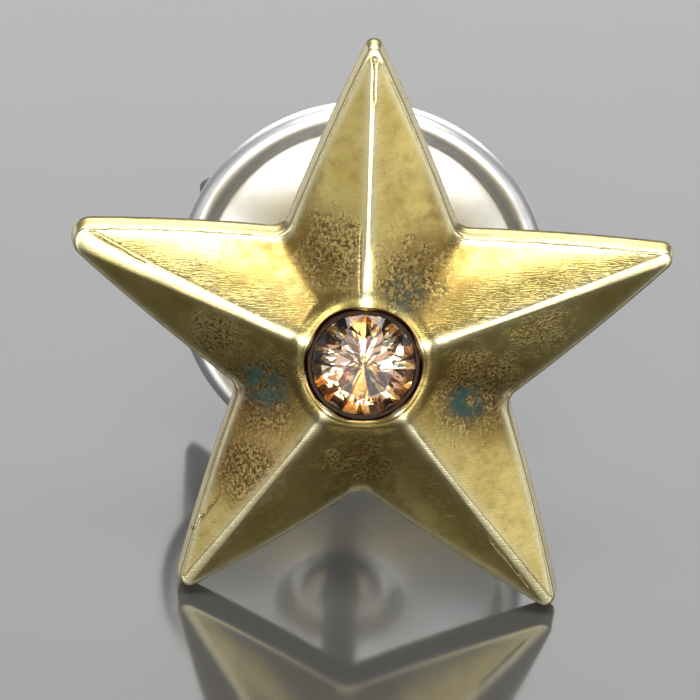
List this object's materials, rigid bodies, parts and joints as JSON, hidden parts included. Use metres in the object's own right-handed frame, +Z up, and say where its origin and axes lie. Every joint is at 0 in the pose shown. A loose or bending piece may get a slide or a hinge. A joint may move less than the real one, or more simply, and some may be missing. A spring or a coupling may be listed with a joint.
{
  "type": "star lapel pin",
  "caption": "Lapel pin: a cast brass star with a round glass stone at its apex, a tack post on its back, and a butterfly clutch that slides on the post and opens when its ears are squeezed.",
  "frame": {"origin": "centre of the bounding box, at its bottom: the table that the pin stands on", "axes": "+X across the star from its left arm to its right as the face is seen, +Y from the face toward the clutch, +Z up from the table"},
  "size_m": [0.018, 0.0148, 0.0166],
  "materials": {
    "cast_brass": "polished, tarnished in the valleys",
    "champagne_glass": "faceted and polished",
    "gold_foil": "bright foil",
    "dark_cement": "old cement",
    "nickel_plate": "satin plated",
    "polished_nickel": "mirror polished, lightly scratched",
    "spring_nickel": "plated spring sheet",
    "solder": "dull silver solder"
  },
  "bodies": {
    "pin": {"star_body": "cast_brass", "chaton_stone": "champagne_glass", "stone_foil": "gold_foil", "stone_cement": "dark_cement", "post_pad": "nickel_plate", "tack_post": "nickel_plate", "pad_solder": "solder", "shank_braze": "solder"},
    "clutch_core": {"clutch_eyelet": "nickel_plate"},
    "clutch_shell": {"clutch_face_plate": "polished_nickel", "clutch_housing": "polished_nickel", "spring_bridge": "spring_nickel"},
    "left_leaf": {"wing_left": "spring_nickel"},
    "right_leaf": {"wing_right": "spring_nickel"}
  },
  "joints": [
    {"name": "clutch_slide", "type": "slide", "parent": "pin", "child": "clutch_core", "axis": [0, 0.9656, -0.2602], "range_m": [-0.0063, 0.004]},
    {"name": "clutch_spin", "type": "hinge", "parent": "clutch_core", "child": "clutch_shell", "pos_m": [-0.0001, -0.00415, 0.00747], "axis": [0, 0.9656, -0.2602], "continuous": true},
    {"name": "right_ear_squeeze", "type": "hinge", "parent": "clutch_shell", "child": "right_leaf", "pos_m": [0.00225, 0.00503, 0.005], "axis": [0, 0.2602, 0.9656], "range_deg": [0, 14], "stiffness_Nm_per_rad": 0.004},
    {"name": "left_ear_squeeze", "type": "hinge", "parent": "clutch_shell", "child": "left_leaf", "pos_m": [-0.00245, 0.00503, 0.005], "axis": [0, -0.2602, -0.9656], "range_deg": [0, 14], "stiffness_Nm_per_rad": 0.004}
  ],
  "couplings": [
    {"joint": "left_ear_squeeze", "follows": "right_ear_squeeze", "ratio": 1}
  ]
}
